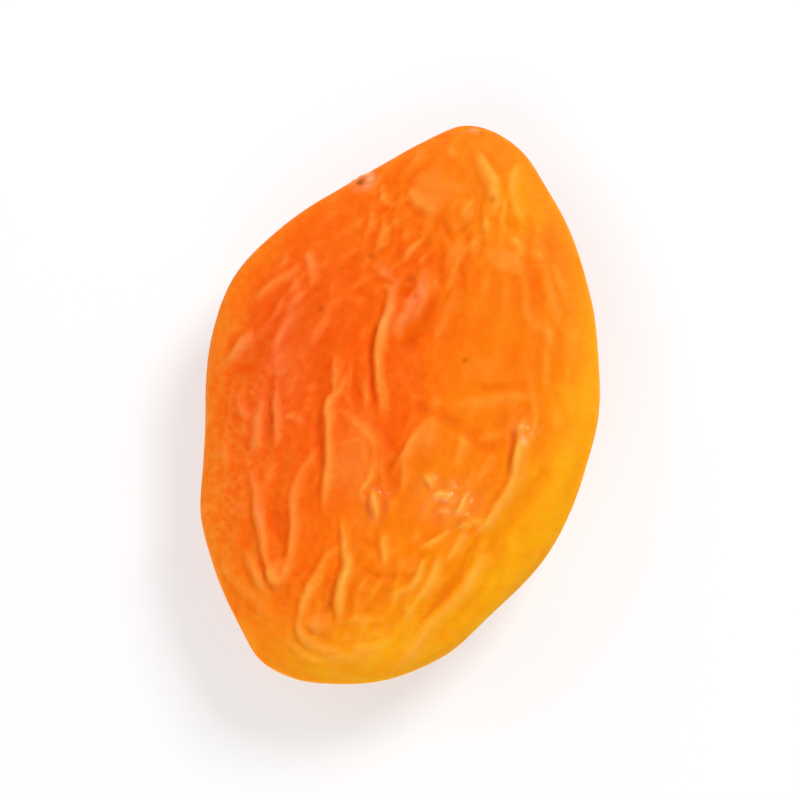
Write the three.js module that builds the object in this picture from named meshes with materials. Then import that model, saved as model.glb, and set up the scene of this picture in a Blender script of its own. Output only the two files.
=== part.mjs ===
// A dried apricot: one whole fruit, stoned through its stem end, pressed flat and dried.
// It lies on its underside. Millimetres, +Z up, +Y towards the stem end, +X across the fruit.
// The flesh has dried down to a leathery pad with a plump rolled edge, a sunken middle and
// raised folds of skin on both faces. It is one solid, because the fruit is one piece.
import * as THREE from 'three';
import { mergeVertices } from 'three/addons/utils/BufferGeometryUtils.js';

// Driving sizes
const LENGTH = 46.6;
const WIDTH = 31.2;
const EDGE_THICKNESS = 7.8;
const TOP_DISH = 0.7; // how far the middle of the upper face sinks as the flesh shrinks
const BELLY = 0.55; // how far the middle of the underside bulges down
const RIM_LIFT = 1.4; // how far the edge curls up off the table
const REST_FLATTENING = 0.2; // what the fruit's own weight has pressed off its underside

// Derived sizes
const HALF_LENGTH = LENGTH / 2;
const HALF_WIDTH = WIDTH / 2;
const HALF_EDGE = EDGE_THICKNESS / 2;

// How round the edge is: 2 gives an ellipse in cross-section, more gives a blunter edge.
const EDGE_BLUNTNESS = 2.25;
// An icosphere split this finely gives faces about 0.8 mm wide, evened out by FACE_SPREAD.
const SPLITS = 20;
const FACE_SPREAD = 0.12;

// The plan outline, as shares of half the width and half the length. It runs clockwise from
// the stem end: a full right side, a blunt tip drawn to the left, and a straighter shoulder.
const OUTLINE = [
  [-0.03, 0.99],
  [0.13, 1.0],
  [0.31, 0.95],
  [0.46, 0.84],
  [0.7, 0.63],
  [0.92, 0.31],
  [0.99, 0.02],
  [0.92, -0.38],
  [0.69, -0.65],
  [0.54, -0.81],
  [0.32, -0.92],
  [0.05, -0.98],
  [-0.15, -1.0],
  [-0.33, -0.97],
  [-0.48, -0.87],
  [-0.7, -0.69],
  [-0.81, -0.56],
  [-0.86, -0.38],
  [-0.95, -0.12],
  [-0.99, 0.08],
  [-0.94, 0.29],
  [-0.79, 0.48],
  [-0.38, 0.78],
  [-0.17, 0.92],
];

// Raised folds of skin on the upper face: height, half-width, then the points that the crest
// runs through. They run along the fruit, fork towards the tip, and one follows the right edge.
const UPPER_FOLDS = [
  { height: 0.55, half: 1.0, crest: [[-2.6, 9.5], [-2.5, 6], [-2.2, 3], [-1.4, 0.5], [-0.2, -2]] },
  { height: 0.5, half: 0.95, crest: [[-4.5, 3], [-4.3, 0], [-5, -2], [-4.2, -4.5], [-3.7, -9.5]] },
  { height: 0.4, half: 0.9, crest: [[-3.8, -1.5], [-1.8, -2.5], [-0.7, -4.5], [-0.8, -7.5], [0.3, -9]] },
  { height: 0.4, half: 0.9, crest: [[-9.9, 0.5], [-9.2, -2.5], [-8.4, -5], [-8.3, -8]] },
  { height: 0.45, half: 0.9, crest: [[-8.8, -9], [-7.7, -12], [-6.4, -14.8], [-5, -16.2]] },
  { height: 0.45, half: 0.9, crest: [[-5, -16.2], [-5, -12.5], [-6.2, -9.3], [-5.2, -5]] },
  { height: 0.5, half: 0.9, crest: [[-2, -10], [-0.8, -12.5], [-0.6, -15.5], [0, -18]] },
  { height: 0.4, half: 0.9, crest: [[-1.6, -12.5], [-2.6, -15.5], [-3, -18.8], [-1, -19.6]] },
  { height: 0.4, half: 1.1, crest: [[9.8, 1.5], [10.5, -2], [9.5, -6], [8.2, -10], [6.4, -13.5]] },
  { height: 0.4, half: 0.9, crest: [[2.4, -1], [1.6, -3.2], [1.4, -5.8]] },
  { height: 0.35, half: 0.9, crest: [[2.4, -14.7], [4.4, -14], [5.5, -12], [6.6, -9]] },
  { height: 0.4, half: 1.0, crest: [[1.2, 20.3], [3, 18.7], [4.1, 16.8], [3.9, 14]] },
  { height: 0.35, half: 1.0, crest: [[-2, 4.5], [0.2, 7.5], [2.8, 9.5]] },
  { height: 0.35, half: 1.0, crest: [[-13.2, 0], [-11.4, 2.8], [-9, 6.2]] },
  { height: 0.3, half: 1.0, crest: [[-3.2, 12], [-3, 16], [-1.6, 18.4]] },
];

// The underside wrinkles more evenly, in folds that run from the stem end to the tip.
const LOWER_FOLDS = [
  { height: 0.45, half: 1.1, crest: [[-1, 19], [-5, 13], [-6.5, 5], [-7.5, -3]] },
  { height: 0.4, half: 1.0, crest: [[1, 19], [1.5, 13.5], [-0.5, 9]] },
  { height: 0.45, half: 1.1, crest: [[3, 18], [7.5, 12], [8, 4], [9.5, -3]] },
  { height: 0.4, half: 1.0, crest: [[11.5, 9], [12.5, 2], [11.5, -6]] },
  { height: 0.4, half: 1.0, crest: [[-10.5, 10], [-12.5, 3], [-11, -6], [-8.5, -12]] },
  { height: 0.45, half: 1.1, crest: [[-3.5, -19], [-5, -14], [-3.5, -9]] },
  { height: 0.4, half: 1.0, crest: [[-0.5, -20], [0.5, -15], [3, -11]] },
  { height: 0.45, half: 1.1, crest: [[2.5, -19], [6, -14.5], [7.5, -9]] },
];

// Broad swellings (positive) and hollows (negative) of the flesh under the upper skin.
const UPPER_SWELLINGS = [
  { at: [-0.5, 16], reach: 3.2, height: 0.4 },
  { at: [2.5, 3], reach: 5.5, height: -0.3 },
  { at: [-2.4, -5.2], reach: 1.9, height: 0.3 },
  { at: [3.8, -3.6], reach: 2.4, height: 0.45 },
  { at: [-7, -1], reach: 2.2, height: -0.35 },
  { at: [-6.6, -12], reach: 1.6, height: -0.4 },
  { at: [12.5, -4], reach: 5, height: 0.25 },
  { at: [9, -13], reach: 4, height: 0.2 },
];

// The scar that the stem left on the upper left shoulder: a dimple with a puckered lip.
const STEM_SCAR = { at: [-6.7, 15.9], reach: 0.9, depth: 0.35, lip: 0.15 };

const outlineCurve = new THREE.CatmullRomCurve3(
  OUTLINE.map(([x, y]) => new THREE.Vector3(x * HALF_WIDTH, y * HALF_LENGTH, 0)),
  true,
  'centripetal',
);
const OUTLINE_STEPS = 720;
const outlinePoints = outlineCurve
  .getPoints(OUTLINE_STEPS)
  .map((p) => ({ angle: Math.atan2(p.y, p.x), radius: Math.hypot(p.x, p.y) }))
  .sort((a, b) => a.angle - b.angle);

// The distance from the fruit's middle to its outline in one direction.
function outlineRadius(angle) {
  const last = outlinePoints.length - 1;
  const next = outlinePoints.findIndex((p) => p.angle >= angle);
  if (next <= 0) return outlinePoints[next < 0 ? last : 0].radius;
  const a = outlinePoints[next - 1];
  const b = outlinePoints[next];
  return THREE.MathUtils.mapLinear(angle, a.angle, b.angle, a.radius, b.radius);
}

const CREST_STEPS = 30;
function crestPoints(fold) {
  const route = new THREE.SplineCurve(fold.crest.map(([x, y]) => new THREE.Vector2(x, y)));
  return route.getSpacedPoints(CREST_STEPS);
}
for (const fold of [...UPPER_FOLDS, ...LOWER_FOLDS]) fold.points = crestPoints(fold);

// The height of one fold at a place: a rounded ridge that dies away at both ends.
function foldHeight(fold, place) {
  let nearest = Infinity;
  let step = 0;
  fold.points.forEach((p, i) => {
    const d = p.distanceToSquared(place);
    if (d < nearest) {
      nearest = d;
      step = i;
    }
  });
  const along = Math.sin((Math.PI * (step + 2)) / (CREST_STEPS + 4));
  return fold.height * Math.sqrt(along) * Math.exp(-nearest / fold.half ** 2);
}

function swellingHeight(swelling, place) {
  const d = place.distanceTo(new THREE.Vector2(...swelling.at)) / swelling.reach;
  return swelling.height * Math.exp(-(d ** 2));
}

// Folds that cross share one crest, so the tallest counts and they aren't added up.
function tallest(folds, place) {
  return Math.max(0, ...folds.map((fold) => foldHeight(fold, place)));
}

function upperRelief(place) {
  const swell = UPPER_SWELLINGS.reduce((sum, s) => sum + swellingHeight(s, place), 0);
  return swell + tallest(UPPER_FOLDS, place);
}

function lowerRelief(place) {
  return tallest(LOWER_FOLDS, place);
}

// How deep the stem scar presses into the shoulder, negative on its lip.
function scarDepth(place) {
  const d = place.distanceTo(new THREE.Vector2(...STEM_SCAR.at)) / STEM_SCAR.reach;
  return STEM_SCAR.depth * Math.exp(-(d ** 2)) - STEM_SCAR.lip * Math.exp(-((d - 1.6) ** 2) * 3);
}

// The edge is plumpest on the right and thinnest at the left shoulder. This and the next two
// are shares, and each evens out to 1 in the middle of the fruit, where out is 0.
function edgePlumpness(angle, out) {
  return 1 + (0.1 * Math.cos(angle + 0.35) - 0.05 * Math.cos(2 * angle - 0.6)) * out ** 2;
}

// The edge curls up unevenly, as a drying fruit does.
function edgeCurl(angle, out) {
  return 1 + (0.35 * Math.cos(2 * angle + 0.9) + 0.2 * Math.sin(3 * angle)) * out;
}

// The edge sways a little in the plan too.
function edgeSway(angle, out) {
  return 1 + (0.003 * Math.sin(7 * angle + 1) + 0.003 * Math.sin(12 * angle)) * out ** 2;
}

// Moves a point of the unit sphere to the fruit's surface.
function shapeFruit(point) {
  const angle = Math.atan2(point.y, point.x);
  const evenTilt = Math.atan2(Math.hypot(point.x, point.y), point.z);
  const tilt = evenTilt - FACE_SPREAD * Math.sin(2 * evenTilt);
  const blunt =
    (Math.abs(Math.sin(tilt)) ** EDGE_BLUNTNESS + Math.abs(Math.cos(tilt)) ** EDGE_BLUNTNESS) **
    (1 / EDGE_BLUNTNESS);
  const out = Math.sin(tilt) / blunt; // 0 in the middle of a face, 1 at the edge
  const up = Math.cos(tilt) / blunt; // 1 on the upper face, -1 underneath
  const radius = outlineRadius(angle) * edgeSway(angle, out) * out;
  const place = new THREE.Vector2(radius * Math.cos(angle), radius * Math.sin(angle));

  const flatness = THREE.MathUtils.smoothstep(Math.abs(up), 0.25, 0.75);
  const middle = 1 - THREE.MathUtils.smoothstep(out, 0.1, 0.9);
  let z = HALF_EDGE * edgePlumpness(angle, out) * up + RIM_LIFT * edgeCurl(angle, out) * out ** 2;
  if (up > 0) z += flatness * upperRelief(place) - TOP_DISH * middle;
  else z -= flatness * lowerRelief(place) + BELLY * middle;
  z -= THREE.MathUtils.smoothstep(up, -0.7, 0.5) * scarDepth(place);
  point.set(place.x, place.y, z);
}

// Lays the fruit on the table: the lowest part of the underside is pressed to one flat spot at
// z = 0, and the middle of its outline is brought over the origin.
function layDown(geometry) {
  geometry.computeBoundingBox();
  const { min, max } = geometry.boundingBox;
  geometry.translate(-(min.x + max.x) / 2, -(min.y + max.y) / 2, -min.z - REST_FLATTENING);
  const position = geometry.getAttribute('position');
  for (let i = 0; i < position.count; i++) position.setZ(i, Math.max(0, position.getZ(i)));
}

function makeFruit() {
  const sphere = new THREE.IcosahedronGeometry(1, SPLITS);
  sphere.deleteAttribute('normal');
  sphere.deleteAttribute('uv');
  const geometry = mergeVertices(sphere);
  const position = geometry.getAttribute('position');
  const point = new THREE.Vector3();
  for (let i = 0; i < position.count; i++) {
    shapeFruit(point.fromBufferAttribute(position, i));
    position.setXYZ(i, point.x, point.y, point.z);
  }
  layDown(geometry);
  geometry.computeVertexNormals();
  return geometry;
}

const driedFlesh = new THREE.MeshStandardMaterial({ color: 0xf47a1c, roughness: 0.45, metalness: 0 });
const fruit = new THREE.Mesh(makeFruit(), driedFlesh);
fruit.name = 'dried_apricot';

const group = new THREE.Group();
group.add(fruit);
export default group;
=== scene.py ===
# A dried apricot on a white table: one whole fruit, stoned, pressed flat and dried.
import math

import bpy
import numpy as np
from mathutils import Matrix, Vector


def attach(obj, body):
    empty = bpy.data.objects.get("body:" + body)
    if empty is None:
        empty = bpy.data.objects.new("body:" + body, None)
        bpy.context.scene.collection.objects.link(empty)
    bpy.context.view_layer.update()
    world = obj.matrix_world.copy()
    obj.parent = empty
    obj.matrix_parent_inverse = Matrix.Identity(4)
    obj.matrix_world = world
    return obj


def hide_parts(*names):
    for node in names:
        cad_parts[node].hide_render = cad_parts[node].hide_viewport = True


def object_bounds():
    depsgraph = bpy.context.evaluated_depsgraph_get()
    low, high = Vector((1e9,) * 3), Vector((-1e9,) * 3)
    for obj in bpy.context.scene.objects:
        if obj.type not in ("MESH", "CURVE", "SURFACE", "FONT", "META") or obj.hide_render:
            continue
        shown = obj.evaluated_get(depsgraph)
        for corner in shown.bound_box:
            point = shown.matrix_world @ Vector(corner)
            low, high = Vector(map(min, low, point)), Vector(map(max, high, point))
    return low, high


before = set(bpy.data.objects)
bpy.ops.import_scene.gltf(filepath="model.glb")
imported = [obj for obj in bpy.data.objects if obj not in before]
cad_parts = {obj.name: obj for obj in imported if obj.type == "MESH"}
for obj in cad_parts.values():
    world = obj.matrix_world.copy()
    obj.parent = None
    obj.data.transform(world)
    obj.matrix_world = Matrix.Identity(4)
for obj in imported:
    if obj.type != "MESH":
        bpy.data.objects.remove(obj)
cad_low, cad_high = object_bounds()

# ---------------------------------------------------------------------------------------------
# The fruit's body. It is one leathery pad of apricot flesh: plump and rolled at the edge, sunk
# in the middle where the stone was pressed out, and curled a little off the table. Its form is
# the solid's, welded, remeshed finely and eased until no facet is left.
# ---------------------------------------------------------------------------------------------
MM = 0.001  # one millimetre, in metres
FACE_WIDTH = 0.183  # mm, fine enough for a crease 0.6 mm wide
EASING_PASSES = 12  # enough to take the facets away

bpy.ops.object.select_all(action="DESELECT")
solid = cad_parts["dried_apricot"]
fruit = bpy.data.objects.new("apricot_flesh", solid.data.copy())
bpy.context.collection.objects.link(fruit)
bpy.context.view_layer.objects.active = fruit
fruit.select_set(True)

bpy.ops.object.mode_set(mode="EDIT")
bpy.ops.mesh.select_all(action="SELECT")
bpy.ops.mesh.remove_doubles(threshold=0.001 * MM)
bpy.ops.object.mode_set(mode="OBJECT")

fine = fruit.modifiers.new("fine faces", "REMESH")
fine.mode = "VOXEL"
fine.voxel_size = FACE_WIDTH * MM
bpy.ops.object.modifier_apply(modifier=fine.name)
ease = fruit.modifiers.new("ease the facets", "SMOOTH")
ease.factor = 0.5
ease.iterations = EASING_PASSES
bpy.ops.object.modifier_apply(modifier=ease.name)


def read_vertices(mesh, name):
    """What each vertex says under that name, such as its place or its normal, one row each."""
    values = np.empty(len(mesh.vertices) * 3)
    mesh.vertices.foreach_get(name, values)
    return values.reshape(-1, 3)


place = read_vertices(fruit.data, "co") / MM
outward = read_vertices(fruit.data, "normal")

# ---------------------------------------------------------------------------------------------
# The skin's map. Folds and creases are drawn on a flat map of the skin, in millimetres, with
# the origin under the middle of the fruit and +Y towards the stem end. A point on the rolled
# edge is unrolled outwards, so that folds keep their width where they pass over it.
# ---------------------------------------------------------------------------------------------
MAP_STEP = 0.1  # mm
EDGE_ROLL = 3.4  # mm, the radius of the rolled edge
half_width = cad_high.x / MM
half_length = cad_high.y / MM
MAP_MARGIN = 5.0  # mm
map_x, map_y = np.meshgrid(
    np.arange(-half_width - MAP_MARGIN, half_width + MAP_MARGIN, MAP_STEP),
    np.arange(-half_length - MAP_MARGIN, half_length + MAP_MARGIN, MAP_STEP),
)

tilt = np.arccos(np.clip(np.abs(outward[:, 2]), 0, 1))
sideways = outward[:, :2] / np.maximum(np.linalg.norm(outward[:, :2], axis=1), 1e-6)[:, None]
skin = place[:, :2] + sideways * (EDGE_ROLL * (tilt - np.sin(tilt)))[:, None]


def read_map(field, x, y):
    """The map's value at points of the skin."""
    column = np.clip((x - map_x[0, 0]) / MAP_STEP, 0, field.shape[1] - 2)
    row = np.clip((y - map_y[0, 0]) / MAP_STEP, 0, field.shape[0] - 2)
    i, j = column.astype(int), row.astype(int)
    s, t = column - i, row - j
    near = field[j, i] * (1 - s) + field[j, i + 1] * s
    far = field[j + 1, i] * (1 - s) + field[j + 1, i + 1] * s
    return near * (1 - t) + far * t


wave_x = np.fft.fftfreq(map_x.shape[1], MAP_STEP)[None, :] * 2 * math.pi
wave_y = np.fft.fftfreq(map_y.shape[0], MAP_STEP)[:, None] * 2 * math.pi


def soften(field, size):
    """Blurs a map over a size in millimetres."""
    spread = (wave_x**2 + wave_y**2) * (size / 3) ** 2
    return np.fft.ifft2(np.fft.fft2(field) * np.exp(-spread)).real


def uneven(size, seed):
    """A random map with swellings about that many millimetres apart, mostly within -1 and 1."""
    field = soften(np.random.default_rng(seed).standard_normal(map_x.shape), size)
    return field / (1.6 * field.std())


def patch(x, y, reach_x, reach_y):
    """1 at a place on the map, fading to 0 around it."""
    return np.exp(-(((map_x - x) / reach_x) ** 2) - ((map_y - y) / reach_y) ** 2)


def patches(places):
    """Patches laid over each other. Each is its strength, then its middle and its reach."""
    return sum(strength * patch(*middle, *reach) for strength, middle, reach in places)


# ---------------------------------------------------------------------------------------------
# The large folds of the upper face. The skin doesn't shrink as the flesh does, so it gathers
# into raised folds with broad hollows between them. Each is its height and half-width in
# millimetres, then the points that its crest passes through.
# ---------------------------------------------------------------------------------------------
UPPER_FOLDS = [
    # the long folds down the middle, and the tongue of flesh between them
    (0.50, 0.42, [(-3.3, 7.7), (-2.5, 7.3), (-2.3, 6), (-2.5, 4.4), (-2.3, 2.2), (-1.55, -0.4), (-0.5, -3)]),
    (0.26, 0.36, [(-5.5, 1.5), (-5.2, 0.3), (-4.8, -0.7), (-4.5, -1.6)]),
    (0.41, 0.40, [(-4, 0.8), (-4.2, -0.8), (-5, -2.5), (-4.6, -4.2), (-3.9, -6.4),
                  (-3.7, -8.6), (-3.3, -10.8)]),
    (0.30, 0.32, [(-4.2, -2.9), (-2.9, -3.2), (-1.8, -3.8), (-0.9, -4.4), (-0.4, -5.4), (-0.3, -6.8)]),
    (0.30, 0.32, [(-0.5, -5.2), (-0.3, -6.3), (-0.4, -7.6), (-0.7, -8.6), (-0.3, -9.4)]),
    (0.14, 0.26, [(-3.2, -5.2), (-2.3, -4.7), (-1.6, -4.3)]),
    (0.46, 0.32, [(0.1, -8.2), (0.4, -9.2), (0.9, -10.3)]),
    (0.27, 0.36, [(2.8, -1.8), (2.2, -3), (1.8, -4.5), (1.3, -5.8), (1.1, -7)]),
    (0.27, 0.26, [(-3.2, 0.6), (-2.8, -0.6), (-2.3, -1.5), (-2.3, -2.6)]),
    # down the left side
    (0.30, 0.36, [(-9.2, -1.1), (-9, -2.5), (-8.6, -4.1), (-8.1, -5.9), (-7.9, -7)]),
    (0.22, 0.42, [(-10.5, -1.4), (-10.1, -3.2), (-10, -4.8), (-9.7, -6.6), (-9.7, -8.4), (-9.1, -9.8)]),
    (0.38, 0.38, [(-9.7, -8.4), (-8.5, -10.6), (-7.9, -12), (-7.2, -13.5), (-6.5, -15.1), (-5.8, -16.4)]),
    (0.42, 0.38, [(-5.1, -6), (-5.7, -8), (-5.9, -10.3), (-5.4, -12.1), (-4.9, -13.9),
                  (-4.7, -15.2), (-5, -16.5)]),
    (0.34, 0.34, [(-6.4, -15.2), (-6, -16.2), (-5.2, -16.7), (-4.8, -15.8)]),
    (0.30, 0.38, [(-8.4, -14.6), (-7.6, -15.5), (-6.8, -16.6), (-5.8, -17.6)]),
    (0.18, 0.40, [(-9.8, -15.8), (-8.4, -17.2), (-6.6, -18), (-5.8, -18.9)]),
    (0.16, 0.40, [(-7.6, -19), (-7.2, -20.4), (-6.4, -21.8)]),
    (0.16, 0.34, [(-3.4, -20.8), (-2.2, -21.3), (-0.8, -21.6)]),
    (0.20, 0.40, [(-7.5, -17.8), (-6.3, -18.5), (-5.2, -19.1)]),
    (0.30, 0.42, [(-8.8, 5.8), (-9.5, 4.8), (-9.5, 3.2), (-9.8, 1.8), (-10.4, 0.6)]),
    (0.24, 0.40, [(-9.5, 9), (-8.9, 7.6), (-8.5, 6.2)]),
    (0.32, 0.48, [(-13.4, -1.2), (-12.9, 0.1), (-12.4, 1.1), (-12, 2)]),
    (0.22, 0.38, [(-12.5, 3.9), (-11.8, 5), (-10.8, 6.6), (-10.1, 7.8)]),
    (0.18, 0.34, [(-10.2, 4.9), (-9.9, 5.9), (-10.2, 6.9)]),
    (0.18, 0.28, [(-7.7, 1.6), (-7.3, 3.1), (-6.8, 4.8)]),
    (0.22, 0.32, [(-11.8, -3), (-11.5, -4.4), (-10.5, -5)]),
    (0.20, 0.30, [(-7.9, -4.5), (-7.2, -4), (-6.5, -4.7)]),
    (0.16, 0.40, [(-12.4, -5.6), (-11.9, -7.2), (-11.7, -9)]),
    # the gathers at the tip
    (0.48, 0.38, [(-1.9, -10.9), (-1.1, -12.8), (-0.6, -14.4), (-0.7, -16.2), (-0.4, -17.3), (0.1, -18.6)]),
    (0.36, 0.40, [(-1.6, -13), (-2.4, -14.2), (-2.8, -16.4), (-2.9, -18.6), (-2.3, -20),
                  (-0.8, -20.5), (1.4, -20.2)]),
    (0.30, 0.32, [(1.2, -11), (1.6, -12.2), (2.1, -13.6)]),
    (0.28, 0.34, [(5, -12.3), (4.9, -13.7), (4.2, -14.9), (3.1, -15.7)]),
    (0.32, 0.36, [(6.1, -11.9), (6, -13.2), (5.6, -14.5), (5, -15.8)]),
    (0.28, 0.36, [(7.2, -9.5), (7.1, -10.9), (6.7, -12.4)]),
    (0.26, 0.32, [(6.1, -9.8), (5.2, -11), (4.2, -11.8)]),
    (0.22, 0.38, [(4.4, -15.2), (4.7, -16.3), (4.8, -17.6)]),
    (0.20, 0.36, [(0.3, -18.3), (1.4, -17.8), (2.8, -17.5)]),
    (0.22, 0.42, [(-0.8, -21.1), (0.9, -20.7), (2.5, -20), (4, -19)]),
    (0.28, 0.42, [(9, -10.5), (8.9, -12.4), (8.2, -14.6), (6.8, -16.8), (5.9, -18.8), (5, -21.2)]),
    # along the right edge, and the puckers beside it
    (0.50, 0.40, [(9.5, -0.2), (9.9, -2), (10.1, -3.8), (9.9, -5.6), (9.4, -7.2), (9, -8.4), (8.4, -9.4)]),
    (0.16, 0.50, [(10.5, -2), (10.8, -3.8), (10.5, -5.8)]),
    (0.46, 0.30, [(3.4, -6), (3.9, -6.3), (4.2, -6.7)]),
    (0.50, 0.30, [(4.4, -7.6), (4.9, -7.3), (5.7, -7.5)]),
    (0.22, 0.26, [(4.9, -8.6), (5.4, -8.1)]),
    (0.42, 0.30, [(6.8, -6.6), (6.6, -7.6), (6.3, -8.4)]),
    (0.28, 0.26, [(6.6, -9.4), (7.2, -9), (7.7, -9.1)]),
    (0.24, 0.28, [(7, -8.1), (7.9, -8.7), (8.6, -8.3)]),
    (0.18, 0.40, [(5.3, -1.6), (5.6, -3.2), (5.8, -5.6)]),
    (0.18, 0.40, [(7.9, -3.2), (7.9, -4.6), (7.5, -6.2)]),
    (0.16, 0.50, [(6.2, -2.6), (7.4, -1.9), (8.7, -0.9)]),
    (0.20, 0.50, [(4.4, 0), (6, 0.6), (7.4, 1), (8.8, 1.4), (10, 2)]),
    (0.12, 0.50, [(7.7, 8.8), (8.8, 7.6), (9.8, 6.8), (10.9, 5.7)]),
    (0.14, 0.45, [(8.9, 11.4), (9.6, 9.6), (10.6, 8), (11.9, 6.5)]),
    # towards the stem end
    (0.38, 0.54, [(1.2, 19.9), (2, 18.9), (2.8, 17.8), (3.5, 16.4), (3.8, 14.9)]),
    (0.30, 0.38, [(4.6, 20.1), (4.3, 18.7), (4.7, 17.2), (5.3, 16.2), (6, 15.5)]),
    (0.22, 0.32, [(3.1, 15), (3.5, 14), (3.8, 12.8)]),
    (0.20, 0.34, [(4.6, 14.5), (5.5, 13.8), (6.3, 13.2), (7.1, 12.5)]),
    (0.22, 0.40, [(1.1, 15.9), (1.5, 15), (1.6, 14.1)]),
    (0.18, 0.50, [(1.7, 12.7), (1.5, 11.4), (1.4, 10.1)]),
    (0.22, 0.45, [(-3.1, 15.9), (-2.6, 14.9), (-1.6, 14.3), (-0.5, 14.2)]),
    (0.24, 0.42, [(-2.8, 13.9), (-2.5, 12.4), (-2.3, 11), (-2, 9.8)]),
    (0.32, 0.60, [(0.2, 9.9), (-0.2, 8.6), (-0.6, 7), (-1.1, 5.5), (-1.7, 3.7)]),
    (0.18, 0.36, [(2.4, 9), (2.1, 7.2), (1.5, 4.7)]),
    (0.20, 0.34, [(-5.4, 16.1), (-5, 14.8), (-4.1, 14.4)]),
    (0.22, 0.30, [(-5.7, 13.6), (-5.4, 12.2), (-5.5, 10.8)]),
    (0.24, 0.32, [(-4.6, 13.5), (-4.4, 12), (-4.3, 10.7), (-4, 9.5)]),
    (0.24, 0.45, [(-5, 9.6), (-3.9, 9), (-3, 8.5), (-2.2, 8.1)]),
    (0.16, 0.36, [(-1.1, 20.5), (-0.6, 19)]),
    (0.24, 0.32, [(9.3, 12.9), (9.8, 11.8), (10.4, 10.5), (11.2, 9.2)]),
    (0.16, 0.36, [(0.2, 12.9), (0.9, 11.9), (1.2, 10.8)]),
    (0.16, 0.34, [(7.3, 14.4), (7.6, 13.3), (7.8, 12.3)]),
    (0.14, 0.34, [(-3.6, 19.9), (-3.3, 19), (-3.5, 18)]),
]

# The creases are the narrow clefts beside and between the folds, given in the same way.
UPPER_CREASES = [
    (0.19, 0.26, [(-3.1, 4.2), (-2.8, 2.6), (-2.5, 0.9), (-2.1, -0.8), (-1.6, -2.2)]),
    (0.20, 0.26, [(-3.7, 1.8), (-3.6, -0.2), (-3.3, -1.6), (-2.9, -2.5)]),
    (0.17, 0.34, [(-0.6, -3), (0.1, -3.8), (0.4, -4.8), (0.7, -6.2), (1.1, -8)]),
    (0.28, 0.34, [(-5.7, -3), (-5.3, -4.6), (-4.4, -7), (-4.1, -8.4), (-4.4, -9.8)]),
    (0.30, 0.34, [(-9.9, -2.2), (-9.5, -4), (-8.9, -6), (-8.8, -7.8)]),
    (0.40, 0.50, [(-7.1, -10.6), (-6.7, -12.4), (-6.1, -14.2), (-5.9, -15.4)]),
    (0.38, 0.42, [(-1.7, -14.2), (-1.4, -15.6), (-1.3, -17), (-0.7, -18.4)]),
    (0.22, 0.30, [(-7, -14.8), (-6.5, -16), (-5.6, -17)]),
    (0.24, 0.28, [(-2.5, -18.2), (-2.6, -19.1), (-2.1, -19.8), (-1.2, -19.9)]),
    (0.14, 0.30, [(-2.6, -20.9), (-1, -20.9), (0.2, -21.2)]),
    (0.14, 0.32, [(0.2, -20.6), (1.2, -20.5), (2, -20.2)]),
    (0.24, 0.25, [(0.1, -12), (0.7, -12.1), (1.2, -11.9)]),
    (0.24, 0.32, [(0.6, -14.1), (2, -14.3), (3.4, -14.2), (4.5, -13.8)]),
    (0.20, 0.30, [(-12, -3.7), (-11.7, -5), (-10.9, -5.9)]),
    (0.24, 0.42, [(-10.8, 1.6), (-11, 0.2), (-11.7, -1)]),
    (0.20, 0.34, [(-13.5, 1.2), (-13.4, -0.4)]),
    (0.20, 0.28, [(-10.5, 7.2), (-10.5, 6.2), (-11, 5.2)]),
    (0.22, 0.28, [(0.8, -8.8), (1.1, -9.8), (1.2, -10.6)]),
    (0.16, 0.34, [(9.1, -0.8), (9.3, -2.6), (9.3, -4.2), (9, -5.8), (8.5, -7.2)]),
    (0.24, 0.36, [(8.6, -9.4), (8.2, -11.4), (7.5, -13.4), (6.6, -15.4), (5.8, -17)]),
    (0.23, 0.48, [(0.2, -0.8), (2, -1.1), (4.2, -1.4), (6, -2.2), (7.4, -2.9), (8.6, -2.2)]),
    (0.14, 0.32, [(4.8, 1.5), (6.3, 1.8), (7.6, 2.1), (9.1, 2.6)]),
    (0.28, 0.32, [(0.8, 21.3), (2, 20.1), (2.9, 19.1), (3.7, 18), (4.2, 16.6)]),
    (0.18, 0.32, [(-3.1, 17.4), (-3.4, 16.2), (-3.4, 15.2)]),
    (0.24, 0.35, [(-0.9, 12.4), (-0.6, 11.2), (-0.3, 10)]),
    (0.18, 0.30, [(0.2, 13.9), (0.7, 13), (1.3, 12.3)]),
    (0.20, 0.60, [(1.5, 8), (0.9, 6.2), (0.4, 4.8), (-0.4, 3.2)]),
    (0.22, 0.28, [(-5.2, 12), (-5, 10.6), (-4.9, 9.8)]),
    (0.14, 0.25, [(-3.7, 12.8), (-3.6, 11.4)]),
    (0.16, 0.50, [(-6.5, 2.6), (-6.3, 0.6), (-6, -1.4), (-6.1, -3.4)]),
    (0.18, 0.25, [(-8, -4.8), (-7.4, -4.9), (-6.9, -5.2)]),
    (0.18, 0.34, [(6.4, 13.2), (6.7, 12.3), (6.7, 11.2)]),
    (0.16, 0.32, [(3.7, 14.9), (4.1, 13.9)]),
    (0.14, 0.32, [(4.3, 15.6), (5.2, 14.7)]),
    (0.14, 0.34, [(7.8, 11.2), (8.1, 10.2)]),
    (0.14, 0.36, [(2.2, 10.8), (2.5, 9.8)]),
    (0.14, 0.34, [(-0.8, 19.5), (-0.9, 18.8)]),
    (0.14, 0.34, [(1.6, 13.7), (2.4, 12.9)]),
]

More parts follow.
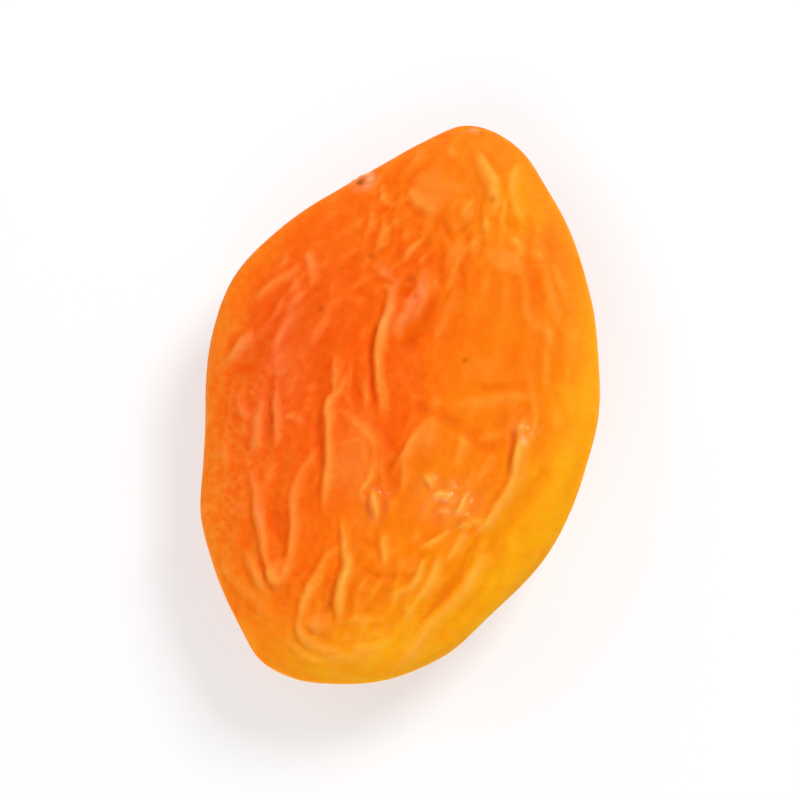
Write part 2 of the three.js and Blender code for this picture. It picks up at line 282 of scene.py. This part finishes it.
# Pads of plumper flesh: height, then the middle and half-widths.
UPPER_PADS = [
    (0.26, (-2.2, -6.2), (1.7, 3.1)),
    (0.20, (-1.3, 16.2), (1.6, 1.7)),
    (0.14, (3.1, -3.5), (1.1, 1.1)),
    (0.14, (-8.3, -0.2), (1, 2)),
    (0.34, (-5.3, -15.8), (0.6, 0.8)),
    (0.46, (-1.5, -18.9), (0.8, 0.7)),
    (0.20, (1.4, -15.7), (0.6, 0.5)),
    (0.12, (2.2, -18.7), (0.6, 0.4)),
    (0.12, (1.2, -13.3), (0.4, 0.3)),
    (0.16, (4.2, -12.9), (0.7, 0.6)),
    (0.24, (5.3, 12), (1.1, 0.8)),
    (0.30, (7.6, 13.2), (0.3, 0.4)),
    (0.12, (-4.4, 5.9), (0.8, 0.6)),
    (0.12, (0.3, 3.1), (0.7, 0.6)),
    (0.12, (5.9, 3.2), (1.2, 0.9)),
    (0.12, (2.8, 12.1), (0.5, 0.5)),
    (0.20, (0.4, 22.5), (0.4, 0.4)),
    (0.42, (9.6, -0.7), (0.32, 0.32)),
    (0.14, (-10, -11.9), (0.6, 0.4)),
    (0.12, (-12.2, -12.3), (0.4, 0.5)),
    (0.12, (-9.5, -14), (0.4, 0.4)),
    (0.14, (-6.8, -1.5), (0.5, 0.4)),
    (0.12, (0.6, 16.8), (0.7, 0.5)),
    (0.18, (1.5, 14.8), (0.45, 0.75)),
    (0.14, (5.5, 13.5), (0.55, 0.4)),
    (0.14, (3.3, 14), (0.25, 0.4)),
    (0.12, (1.6, 11.6), (0.5, 0.6)),
    (0.14, (6.2, 11.1), (0.4, 0.3)),
    (0.12, (-4.4, 12), (0.25, 0.3)),
]

# The underside's folds are longer and simpler, because the tray kept that face flatter.
LOWER_FOLDS = [
    (0.20, 0.65, [(-1, 19), (-5, 13), (-6.5, 5), (-7.5, -3)]),
    (0.18, 0.60, [(1, 19), (1.5, 13.5), (-0.5, 9)]),
    (0.20, 0.65, [(3, 18), (7.5, 12), (8, 4), (9.5, -3)]),
    (0.20, 0.50, [(11.5, 9), (12.5, 2), (11.5, -6)]),
    (0.20, 0.50, [(-10.5, 10), (-12.5, 3), (-11, -6), (-8.5, -12)]),
    (0.20, 0.65, [(-3.5, -19), (-5, -14), (-3.5, -9)]),
    (0.20, 0.50, [(-0.5, -20), (0.5, -15), (3, -11)]),
    (0.20, 0.65, [(2.5, -19), (6, -14.5), (7.5, -9)]),
]


def crest_line(points, steps=10):
    """A smooth line through the points, as a Catmull-Rom spline."""
    knots = np.array(points, float)
    knots = np.vstack([2 * knots[0] - knots[1], knots, 2 * knots[-1] - knots[-2]])
    t = np.linspace(0, 1, steps, endpoint=False)[:, None]
    stretches = [
        0.5 * (2 * b + (c - a) * t + (2 * a - 5 * b + 4 * c - d) * t**2 + (3 * b - a - 3 * c + d) * t**3)
        for a, b, c, d in zip(knots, knots[1:], knots[2:], knots[3:])
    ]
    return np.vstack([*stretches, knots[-2]])


def nearest_on(line, x, y):
    """How far points are from a line, squared, how far to its right they are, and how far along
    it, from 0 to 1."""
    closest = np.full(x.shape, np.inf)
    right = np.zeros(x.shape)
    along = np.zeros(x.shape)
    for i, (start, end) in enumerate(zip(line, line[1:])):
        run = end - start
        t = ((x - start[0]) * run[0] + (y - start[1]) * run[1]) / (run @ run)
        t = np.clip(t, 0, 1)
        gap = (x - start[0] - t * run[0]) ** 2 + (y - start[1] - t * run[1]) ** 2
        nearer = gap < closest
        closest[nearer] = gap[nearer]
        right[nearer] = (x - start[0] - t * run[0])[nearer]
        along[nearer] = (i + t[nearer]) / (len(line) - 1)
    return closest, right, along


SWELLING_REACH = 1.15  # mm, the half-width of the swollen flesh that carries each fold
GROOVE_SHARE = 0.3  # how deep the groove beside a fold is, as a share of the fold's height
FOLD_WANDER = 0.14  # mm, how far a fold strays to each side of its line
PAD_WANDER = 0.3  # mm, the same for the edge of a pad
COVERING_CREST = 0.15  # mm, how tall a crest has to be to fill another fold's groove


def gather(folds, seed):
    """Lays folds on a map: their crests with a groove on each side, and the broad swellings that
    carry them. The folds lean to the left, where they are steep and the groove is deep."""
    wander_x = map_x + FOLD_WANDER * uneven(1.8, seed)
    wander_y = map_y + FOLD_WANDER * uneven(1.8, seed + 1)
    rise_and_fall = 0.85 + 0.4 * uneven(2.5, seed + 2)  # a crest's height along its line
    crests = np.zeros_like(map_x)
    grooves = np.zeros_like(map_x)
    swellings = np.zeros_like(map_x)
    for height, half, points in folds:
        line = crest_line(points)
        low, high = line.min(0) - 3 * SWELLING_REACH, line.max(0) + 3 * SWELLING_REACH
        close = (map_x > low[0]) & (map_x < high[0]) & (map_y > low[1]) & (map_y < high[1])
        gap, right, along = nearest_on(line, wander_x[close], wander_y[close])
        # A fold thins towards both ends, and its right side is the broader.
        taper = np.sin(math.pi * (0.03 + 0.94 * along)) ** 0.6
        side = np.clip(right / half, -1, 1)
        reach = half * (0.55 + 0.45 * taper) * (1 + 0.25 * side)
        thin = height * taper * (0.85 * np.exp(-gap / reach**2) + 0.15 * np.exp(-4 * gap / reach**2))
        groove = height * taper * np.exp(-(((np.sqrt(gap) - 2 * reach) / (0.8 * reach)) ** 2))
        groove *= 1 - 0.5 * side
        broad = height * taper * np.exp(-gap / SWELLING_REACH**2)
        crests[close] = np.maximum(crests[close], thin * rise_and_fall[close])
        grooves[close] = np.maximum(grooves[close], groove)
        carried = swellings[close]
        swellings[close] = np.maximum(carried, broad) + 0.25 * np.minimum(carried, broad)
    # A groove ends where another fold runs over it.
    crests -= GROOVE_SHARE * grooves * np.clip(1 - crests / COVERING_CREST, 0, 1)
    return crests, swellings


def lay_pads(pads, seed):
    """Lays pads and hollows on a map, each with a flat top or floor and a wandering outline."""
    wander_x = map_x + PAD_WANDER * uneven(2, seed + 3)
    wander_y = map_y + PAD_WANDER * uneven(2, seed + 4)
    total = np.zeros_like(map_x)
    for height, (x, y), (reach_x, reach_y) in pads:
        across = ((wander_x - x) / reach_x) ** 2 + ((wander_y - y) / reach_y) ** 2
        total += height * np.exp(-0.7 * across**2)
    return total


# ---------------------------------------------------------------------------------------------
# The lesser folds between the large ones. They run along the fruit and draw together at both
# ends, so they are drawn on a map whose columns narrow as the fruit does, and on the left side
# they lean inwards towards the stem end. Each size of fold is a band of waves of about one length.
# ---------------------------------------------------------------------------------------------
narrowing = np.sqrt(1 - 0.8 * np.clip(np.abs(map_y) / half_length, 0, 1) ** 2)
even_x = map_x / narrowing
lean = 0.22 * np.maximum(map_y - 2, 0) * (0.5 - 0.5 * np.tanh((map_x - 3) / 4))
HIGHEST_FOLD = 2.2  # how far the tallest stands above the mean, in times their spread
SHARPNESS = 0.5  # how much narrower than the hollows the crests are
BAND_WIDTH = 0.35  # how much the waves of one band differ in length, as a share
BEND_SHARE = 0.6  # how far the folds bend aside, as a share of their spacing
wave_length = 2 * math.pi / np.maximum(np.hypot(wave_x, wave_y), 1e-6)
wave_slant = np.arctan2(np.abs(wave_y), np.abs(wave_x))


def lesser_folds(spacing, slant, seed):
    """Folds that far apart in millimetres, which stray by that angle from the fruit's length. They
    spread by about 1, and none stands far above the rest."""
    band = np.exp(-(((spacing / wave_length - 1) / BAND_WIDTH) ** 2) - (wave_slant / slant) ** 2)
    noise = np.random.default_rng(seed).standard_normal(map_x.shape)
    waves = np.fft.ifft2(np.fft.fft2(noise) * band).real
    bent_x = even_x - lean + spacing * BEND_SHARE * uneven(6, seed + 1)
    bent_y = map_y + spacing * BEND_SHARE * uneven(6, seed + 2)
    crests = np.exp(SHARPNESS * read_map(waves / waves.std(), bent_x, bent_y))
    return HIGHEST_FOLD * np.tanh((crests - crests.mean()) / (crests.std() * HIGHEST_FOLD))


# How far the hollows lie under the solid's face, in mm, so that the folds don't outgrow it.
SKIN_DEPTH = 0.24
# How tall the lesser folds are, in mm, from the widest down, and the lines along the edge.
WIDE_HEIGHT, NARROW_HEIGHT, FINE_HEIGHT = 0.08, 0.05, 0.022
RIM_LINE_HEIGHT = 0.05

# The edge is taut: it starts at this share of the way out and is whole this much further.
RIM_START, RIM_FADE = 0.78, 0.14
from_middle = np.hypot(map_x / half_width, map_y / half_length)
rim = np.clip((from_middle - RIM_START) / RIM_FADE, 0, 1)


def rim_lines(seed):
    """Faint lines along the rolled edge, about a millimetre apart."""
    return read_map(uneven(1.1, seed), half_width * from_middle, 5 * np.arctan2(map_y, map_x))


def relief(folds, creases, pads, seed, loose):
    """The height of the skin on a map of one face, in millimetres, its painted light and shade, lighter
    on crests and pads and darker in hollows, and its pads. The lesser folds are as tall as the skin is
    loose."""
    crests, swellings = gather(folds, seed)
    clefts, _ = gather(creases, seed + 100)
    crests -= 0.8 * clefts
    plateaus = lay_pads(pads, seed)
    # The wide folds keep clear of the large ones.
    beside = 1 - 0.6 * np.clip((swellings + np.abs(plateaus)) / 0.25, 0, 1)
    wide = WIDE_HEIGHT * lesser_folds(spacing=2.8, slant=0.6, seed=seed + 10)
    narrow = NARROW_HEIGHT * lesser_folds(spacing=1.5, slant=0.8, seed=seed + 30)
    narrow *= np.clip(0.8 + 0.6 * uneven(4, seed + 40), 0.1, 1.4)
    fine = FINE_HEIGHT * lesser_folds(spacing=0.75, slant=1.3, seed=seed + 50)
    fine *= np.clip(0.8 + 0.6 * uneven(3, seed + 70), 0, 1.4)
    waves = 0.1 * uneven(6, seed + 60)
    lesser = (wide * beside + narrow + fine * (1 - rim)) * loose
    lesser += RIM_LINE_HEIGHT * rim * rim_lines(seed + 80)
    height = 0.85 * crests + 0.35 * swellings + 0.8 * plateaus + lesser + waves - SKIN_DEPTH
    # Painted light and shade for the tint: lighter where the skin stands up, darker in the hollows.
    lit_and_shaded = 0.8 * crests + 0.3 * swellings + 0.5 * plateaus + 0.65 * lesser
    return height, lit_and_shaded, plateaus


# Where the upper face's skin is taut, so that it lies smooth, and where it is looser than usual.
TAUT_PLACES = [(0.7, (6.5, 4), (4, 6)), (1, (-1.3, 16.5), (2.2, 2.2)), (0.6, (-12.5, -9), (3, 7))]
LOOSE_PLACES = [(0.9, (-1, 14), (6, 5)), (0.6, (-11, -3), (3, 9)), (0.5, (0, -17), (8, 4))]
taut_above = np.clip(np.maximum(patches(TAUT_PLACES), rim), 0, 1)
loose_above = (1 + patches(LOOSE_PLACES)) * (1 - 0.95 * taut_above)
upper_relief, upper_lit_and_shaded, upper_plateaus = relief(
    UPPER_FOLDS, UPPER_CREASES, UPPER_PADS, seed=5, loose=loose_above
)

# The stem scar on the left shoulder: a pit under a millimetre wide in a pale puckered lip.
SCAR_X, SCAR_Y = -7.3, 16.1
PIT_REACH, PIT_DEPTH = 0.28, 0.15
LIP_RADIUS, LIP_REACH, LIP_HEIGHT = 0.7, 0.4, 0.2
from_scar = np.hypot(map_x - SCAR_X, map_y - SCAR_Y)
round_scar = np.arctan2(map_y - SCAR_Y, map_x - SCAR_X)
pit = np.exp(-((from_scar / PIT_REACH) ** 2))
lip = np.exp(-(((from_scar - LIP_RADIUS) / LIP_REACH) ** 2))
# The lip has seven puckers and is tallest on the side of the stem end.
lip *= (1 + 0.25 * np.sin(7 * round_scar)) * (0.6 + 0.4 * np.cos(round_scar - 1.2))
upper_relief += LIP_HEIGHT * lip - PIT_DEPTH * pit

# The underside. The table has pressed the skin flat where the fruit rests on it.
pressed = np.clip(1.6 * patch(0, 0, 4, 6), 0, 1)
loose_below = 0.45 * (1 - np.maximum(pressed, rim))
lower_relief, lower_lit_and_shaded, _ = relief(LOWER_FOLDS, [], [], seed=105, loose=loose_below)
lower_relief *= 1 - pressed

# The two faces meet over the rolled edge, where the skin turns from facing up to facing down.
TURN = 0.35
faces_up = np.clip((outward[:, 2] + TURN) / (2 * TURN), 0, 1)
faces_up = faces_up * faces_up * (3 - 2 * faces_up)


def on_skin(field):
    """The map's value at each vertex."""
    return read_map(field, *skin.T)


height = faces_up * on_skin(upper_relief) + (1 - faces_up) * on_skin(lower_relief)

place += outward * height[:, None]
place[:, 2] = np.maximum(place[:, 2], 0)
fruit.data.vertices.foreach_set("co", (place * MM).ravel())
fruit.data.update()
bpy.ops.object.shade_smooth()


# ---------------------------------------------------------------------------------------------
# What the skin's colour follows. Crests are painted paler, a painted light for the light that leaves
# the thin folds again and falls on their tops, and hollows are painted deeper orange, a painted shade.
# The thin rolled edge is golden on the right and at the tip, partly its own colour and partly a painted
# glow, and the left shoulder keeps the fruit's blush, with a painted pink sheen on its crests.
# ---------------------------------------------------------------------------------------------
TONE_REACH, TONE_DEPTH = 4.5, 0.3  # mm


def tone_of(field):
    """How a map stands against what is around it: 1 on a full crest, and below 0 in a hollow."""
    return (field - soften(field, TONE_REACH)) / TONE_DEPTH


def keep(name, values):
    """Keeps a share between 0 and 1 for each vertex, for the material to read."""
    layer = fruit.data.attributes.new(name, "FLOAT", "POINT")
    layer.data.foreach_set("value", np.clip(values, 0, 1))


# Each place is its strength, then its middle and its reach in millimetres. First come the places
# where the folds' painted light and shade is more even, where crests take a painted pink sheen, and
# where the flesh is plump, whose pale peach is partly a painted sheen.
EVEN_PLACES = [(0.35, (-7, -12.5), (3.5, 4)), (0.35, (-2.2, -5.5), (2.5, 3.5))]
PINK_SHEEN_PLACES = [
    (1, (-9.5, 0), (4, 9)),
    (1, (-0.8, 7), (1.6, 3.5)),
    (1, (-3.5, 9), (2, 1.2)),
    (0.5, (-7, -11.5), (3, 3)),
]
PLUMP_AND_SHEEN_PLACES = [(0.28, (-2.1, -6.2), (1.4, 2.7)), (0.25, (2.7, -3.6), (0.9, 1.2))]
# Where the flesh is golden beside the edge's gold, partly its own colour and partly a painted glow,
# and where it is amber, pink or red orange, the red orange partly a painted shade in the middle's valley.
GOLD_AND_GLOW_PLACES = [(0.5, (5.5, 17.5), (2.5, 4)), (0.4, (5, -20.5), (4, 3)), (0.4, (2, -22.5), (6, 1.4))]
AMBER_PLACES = [(1, (7, 2), (5, 11)), (1, (4, -8), (5, 5)), (1, (2, -15), (7, 6)), (1, (3, 17), (6, 7))]
BLUSH_PLACES = [(1, (-9.5, 0), (5, 10)), (0.3, (-1, 9), (3, 3))]
EMBER_AND_SHADE_PLACES = [(1, (-3, 0), (3.5, 6)), (1, (1, -4), (1.5, 4))]
# Where pale grains show, where the skin is moist, and a pale bump at the stem end's tip, whose pale
# tint is partly a painted glint.
GRAINY_PLACES = [
    (0.22, (-11, -11), (4, 7)),
    (0.12, (-13, -2), (3, 5)),
    (0.18, (4, 14), (4, 4)),
    (0.2, (1, -19), (7, 4)),
]
MOIST_PLACES = [(1, (5.6, -7.6), (2.4, 1.8)), (1, (0.4, -9), (0.8, 1.4)), (1, (9.7, -1), (0.8, 1))]
TIP_BUMP_AND_GLINT_PLACES = [(0.6, (0.4, 22.5), (0.4, 0.35))]
# Dark specks: where they are, and how large.
SPECKS = [
    (3.3, 16.4), (-0.6, 7.4), (-1.3, 8.8), (-7.4, 4.7),
    (-4.7, 9.8), (1.1, 22.4), (4.2, 3.5), (6.8, -9.2),
]
SPECK_REACH = (0.2, 0.24)

# Painted light and shade of the folds: above 0 paler on the crests, below 0 deeper in the hollows.
painted_light_and_shade = faces_up * on_skin(tone_of(upper_lit_and_shaded)) + (1 - faces_up) * on_skin(tone_of(lower_lit_and_shaded))
painted_light_and_shade *= 1 - on_skin(patches(EVEN_PLACES))
pink_sheen_share = faces_up * on_skin(np.clip(patches(PINK_SHEEN_PLACES), 0, 1))

# How far out on the fruit a vertex is, 1 being the edge, and how far towards the golden side.
# The edge starts to turn golden at GOLD_START, sooner on that side, and is whole GOLD_FADE on. The gold
# is partly the thin edge's own colour and partly a painted glow.
GOLD_START, GOLD_FADE = 0.62, 0.3
out_x, out_y = skin[:, 0] / half_width, skin[:, 1] / half_length
out = np.hypot(out_x, out_y)
toward = (out_x * 0.8 - out_y * 0.5) / np.maximum(out, 0.2)
gold_and_glow = np.clip((out - GOLD_START + 0.22 * (toward - 0.6)) / GOLD_FADE, 0, 1)
gold_and_glow *= np.clip(0.15 + toward, 0, 1)
gold_and_glow += on_skin(patches(GOLD_AND_GLOW_PLACES))
amber = on_skin(patches(AMBER_PLACES))
# How far the painted light on crests and the painted shade in hollows take the golden tints rather than the
# peach and the red.
gold_share = np.clip(gold_and_glow + 0.7 * amber - 0.3, 0, 1)

# Pale peach on raised pads, partly a painted sheen.
keep("plump_pad_and_sheen", faces_up * on_skin(1.2 * upper_plateaus + patches(PLUMP_AND_SHEEN_PLACES)))
keep("gold_and_glow", gold_and_glow)
keep("amber", 0.8 * amber)
# A paler orange along the outer edge: a painted glow.
keep("edge", 0.6 * np.clip((out - 0.8) / 0.2, 0, 1))
# Painted light on crests in peach, gold or pink, and painted shade in hollows in red or amber.
keep("painted_peach_crest_light", 1.05 * painted_light_and_shade * (1 - pink_sheen_share) * (1 - gold_share))
keep("painted_golden_crest_light", 1.1 * painted_light_and_shade * (1 - pink_sheen_share) * gold_share)
keep("painted_pink_crest_sheen", 0.8 * painted_light_and_shade * pink_sheen_share)
keep("painted_red_hollow_shade", -1.05 * painted_light_and_shade * (1 - gold_share))
keep("painted_amber_hollow_shade", -1.05 * painted_light_and_shade * gold_share)
keep("blush", 0.7 * on_skin(patches(BLUSH_PLACES)))
# Deeper red orange in the middle, partly painted shade in the valley beside the tongue.
keep("ember_and_shade", 0.5 * on_skin(patches(EMBER_AND_SHADE_PLACES)))
keep("grainy", on_skin(0.1 + patches(GRAINY_PLACES) + 0.1 * rim))
# The pale lip round the stem scar, and the pale bump at the tip, partly a painted glint.
keep("lip", 0.9 * faces_up * on_skin(lip + patches(TIP_BUMP_AND_GLINT_PLACES)))
keep("scar", 0.9 * faces_up * on_skin(pit))
keep("speck", 0.5 * faces_up * on_skin(patches((1, middle, SPECK_REACH) for middle in SPECKS)))
keep("moist", faces_up * on_skin(patches(MOIST_PLACES)))


# ---------------------------------------------------------------------------------------------
# The fruit's material: sulphured apricot skin, which is soft orange flesh under a thin leathery skin.
# A base colour is tinted by what the vertices keep, painted light and shade among it, then mottled
# and grained by noise, and fine pores and wrinkles are bump. The light sinks a little way into the flesh.
# ---------------------------------------------------------------------------------------------
def linear(code):
    """An sRGB hex colour as linear light."""
    channels = [int(code[i : i + 2], 16) / 255 for i in (0, 2, 4)]
    return [c / 12.92 if c <= 0.04045 else ((c + 0.055) / 1.055) ** 2.4 for c in channels] + [1]


def add_node(tree, kind, settings=(), **inputs):
    """Adds a node. An input is given a value, or another node's output to link to it."""
    node = tree.nodes.new(kind)
    for name, value in dict(settings).items():
        setattr(node, name, value)
    for name, value in inputs.items():
        socket = node.inputs[int(name[1:])] if name[1:].isdigit() else node.inputs[name.replace("_", " ")]
        if isinstance(value, bpy.types.NodeSocket):
            tree.links.new(value, socket)
        else:
            socket.default_value = value
    return node


flesh = bpy.data.materials.new("sulphured_apricot_skin")
flesh.use_nodes = True
tree = flesh.node_tree
tree.nodes.clear()
spot = add_node(tree, "ShaderNodeTexCoord").outputs["Object"]


def per_metre(size):
    """The scale of a texture whose marks are that many millimetres across."""
    return 1 / (size * MM)


colour = linear("F87006")
# Several tints are painted light and shade: crest light, pad sheen, edge glow, and hollow shade.
TINTS = {
    "amber": "FB8A06",
    "blush": "E8561A",
    "ember_and_shade": "F45A00",
    "edge": "FF8C14",
    "gold_and_glow": "FFAE0A",
    "plump_pad_and_sheen": "FB8838",
    "painted_red_hollow_shade": "E65800",
    "painted_amber_hollow_shade": "E87E00",
    "painted_peach_crest_light": "FFA040",
    "painted_golden_crest_light": "FFB444",
    "painted_pink_crest_sheen": "FF925C",
    "lip": "FFB688",
    "speck": "963A08",
    "scar": "84421C",
}
# On a mix of two colours, inputs 0, 6 and 7 are the share and the colours, and output 2 is the mix.
for name, code in TINTS.items():
    share = add_node(tree, "ShaderNodeAttribute", {"attribute_name": name}).outputs["Fac"]
    colour = add_node(
        tree, "ShaderNodeMix", {"data_type": "RGBA"}, _0=share, _6=colour, _7=linear(code)
    ).outputs[2]


def blotches(size, low, high):
    """Soft patches about that many millimetres apart, from 0 to 1."""
    noise = add_node(
        tree, "ShaderNodeTexNoise", Vector=spot, Scale=per_metre(size), Detail=3, Roughness=0.6
    ).outputs["Fac"]
    return add_node(
        tree, "ShaderNodeMapRange", Value=noise, From_Min=low, From_Max=high
    ).outputs["Result"]


# A mottle of deeper orange, and then grains of a paler one.
DEEPER = (1, 0.78, 0.4, 1)  # what the mottle multiplies the colour by, where it is strongest
colour = add_node(
    tree,
    "ShaderNodeMix",
    {"data_type": "RGBA", "blend_type": "MULTIPLY"},
    _0=blotches(2.2, 0.35, 0.8),
    _6=colour,
    _7=DEEPER,
).outputs[2]
grainy_share = add_node(tree, "ShaderNodeAttribute", {"attribute_name": "grainy"}).outputs["Fac"]
grains = add_node(
    tree, "ShaderNodeMath", {"operation": "MULTIPLY"}, _0=blotches(0.7, 0.4, 0.75), _1=grainy_share
).outputs[0]
colour = add_node(
    tree, "ShaderNodeMix", {"data_type": "RGBA"}, _0=grains, _6=colour, _7=linear("FFB040")
).outputs[2]

# Where the skin is moist it is smoother, under a thin film of dew.
moist_share = add_node(tree, "ShaderNodeAttribute", {"attribute_name": "moist"}).outputs["Fac"]
roughness = add_node(
    tree, "ShaderNodeMapRange", Value=moist_share, To_Min=0.5, To_Max=0.3
).outputs["Result"]
dew = add_node(tree, "ShaderNodeMapRange", Value=moist_share, To_Max=0.5).outputs["Result"]
pores = add_node(
    tree, "ShaderNodeTexNoise", Vector=spot, Scale=per_metre(0.45), Detail=4, Roughness=0.6
)
leather = add_node(
    tree,
    "ShaderNodeTexVoronoi",
    {"feature": "SMOOTH_F1"},
    Vector=spot,
    Scale=per_metre(0.9),
    Smoothness=0.6,
)
relief_sum = add_node(
    tree, "ShaderNodeMath", {"operation": "ADD"}, _0=pores.outputs["Fac"], _1=leather.outputs["Distance"]
)
PORE_DEPTH = 0.09  # mm
bump = add_node(
    tree, "ShaderNodeBump", Strength=1.0, Distance=PORE_DEPTH * MM, Height=relief_sum.outputs[0]
)
skin_shader = add_node(
    tree,
    "ShaderNodeBsdfPrincipled",
    Base_Color=colour,
    Roughness=roughness,
    Coat_Weight=dew,
    Coat_Roughness=0.16,
    IOR=1.42,
    Specular_IOR_Level=0.05,
    Subsurface_Weight=0.6,
    Subsurface_Radius=(1.0, 0.4, 0.12),
    Subsurface_Scale=0.8 * MM,
    Normal=bump.outputs["Normal"],
)
add_node(tree, "ShaderNodeOutputMaterial", Surface=skin_shader.outputs["BSDF"])
fruit.data.materials.clear()
fruit.data.materials.append(flesh)

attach(fruit, "root")
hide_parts("dried_apricot")

# ---------------------------------------------------------------------------------------------
# The table: a white laminate board, as a plain sheet far wider than the view. It takes the
# fruit's shadow. To the camera it glows a little, so that it meets the backdrop without a line.
# ---------------------------------------------------------------------------------------------
bpy.ops.object.select_all(action="DESELECT")
TABLE_WIDTH = 4  # m
bpy.ops.mesh.primitive_plane_add(size=TABLE_WIDTH, location=(0, 0, 0))
table_top = bpy.context.object
table_top.name = "white_table"
laminate = bpy.data.materials.new("white_laminate")
laminate.use_nodes = True
tree = laminate.node_tree
tree.nodes.clear()


def seen_share(tree):
    """1 for the rays that show a background, straight or in a gloss, and 0 for those that light."""
    rays = add_node(tree, "ShaderNodeLightPath").outputs
    share = rays["Is Camera Ray"]
    for kind in ("Is Glossy Ray", "Is Transmission Ray"):
        share = add_node(
            tree, "ShaderNodeMath", {"operation": "MAXIMUM"}, _0=share, _1=rays[kind]
        ).outputs[0]
    return share


OFF_WHITE = (0.93, 0.93, 0.93, 1)
board = add_node(tree, "ShaderNodeBsdfPrincipled", Base_Color=OFF_WHITE, Roughness=0.5)
paper_white = add_node(tree, "ShaderNodeEmission", Color=(1, 1, 1, 1), Strength=1)
lift = add_node(tree, "ShaderNodeMath", {"operation": "MULTIPLY"}, _0=seen_share(tree), _1=0.5)
lifted = add_node(
    tree, "ShaderNodeMixShader", _0=lift.outputs[0], _1=board.outputs[0], _2=paper_white.outputs[0]
)
add_node(tree, "ShaderNodeOutputMaterial", Surface=lifted.outputs[0])
table_top.data.materials.append(laminate)

# ---------------------------------------------------------------------------------------------
# Soft studio light: three square lamps and an even room, before a white backdrop that only the
# camera and the glosses see.
# ---------------------------------------------------------------------------------------------
world = bpy.data.worlds.new("studio")
bpy.context.scene.world = world
world.use_nodes = True
tree = world.node_tree
tree.nodes.clear()
room_light = add_node(tree, "ShaderNodeBackground", Color=(1, 1, 1, 1), Strength=0.28)
white_backdrop = add_node(tree, "ShaderNodeBackground", Color=(1, 1, 1, 1), Strength=1)
studio = add_node(
    tree,
    "ShaderNodeMixShader",
    _0=seen_share(tree),
    _1=room_light.outputs[0],
    _2=white_backdrop.outputs[0],
)
add_node(tree, "ShaderNodeOutputWorld", Surface=studio.outputs[0])


def add_softbox(name, azimuth, elevation, distance, size, level):
    """A square lamp facing the fruit. Azimuth runs anticlockwise from +X, in degrees, and distance
    and size are in metres. Level is its share of the light on the table, where a total of 1 shows
    a colour as it is written."""
    a, e = math.radians(azimuth), math.radians(elevation)
    toward = Vector((math.cos(a) * math.cos(e), math.sin(a) * math.cos(e), math.sin(e)))
    lamp = bpy.data.lights.new(name, "AREA")
    lamp.size = size
    lamp.energy = level * (math.pi * distance) ** 2 / math.sin(e)
    box = bpy.data.objects.new(name, lamp)
    box.location = toward * distance
    box.rotation_mode = "QUATERNION"
    box.rotation_quaternion = toward.to_track_quat("Z", "Y")
    bpy.context.collection.objects.link(box)


add_softbox("key_softbox", azimuth=60, elevation=43, distance=0.5, size=0.2, level=0.5)
add_softbox("left_softbox", azimuth=175, elevation=30, distance=0.6, size=0.5, level=0.15)
add_softbox("front_softbox", azimuth=-95, elevation=30, distance=0.6, size=0.5, level=0.25)

# ---------------------------------------------------------------------------------------------
# The camera looks down on the upper face from the tip's side, turned so that the stem end leans
# to the right.
# ---------------------------------------------------------------------------------------------
VIEW_AZIMUTH, VIEW_ELEVATION = math.radians(14), math.radians(75)
VIEW_DISTANCE = 0.172  # m
camera_data = bpy.data.cameras.new("camera")
camera_data.lens = 100  # mm
camera = bpy.data.objects.new("camera", camera_data)
bpy.context.collection.objects.link(camera)
back = Vector(
    (
        math.sin(VIEW_AZIMUTH) * math.cos(VIEW_ELEVATION),
        -math.cos(VIEW_AZIMUTH) * math.cos(VIEW_ELEVATION),
        math.sin(VIEW_ELEVATION),
    )
)
camera.location = (cad_low + cad_high) / 2 + back * VIEW_DISTANCE
camera.rotation_mode = "QUATERNION"
camera.rotation_quaternion = (-back).to_track_quat("-Z", "Y")
bpy.context.scene.camera = camera
bpy.context.scene.view_settings.view_transform = "Standard"
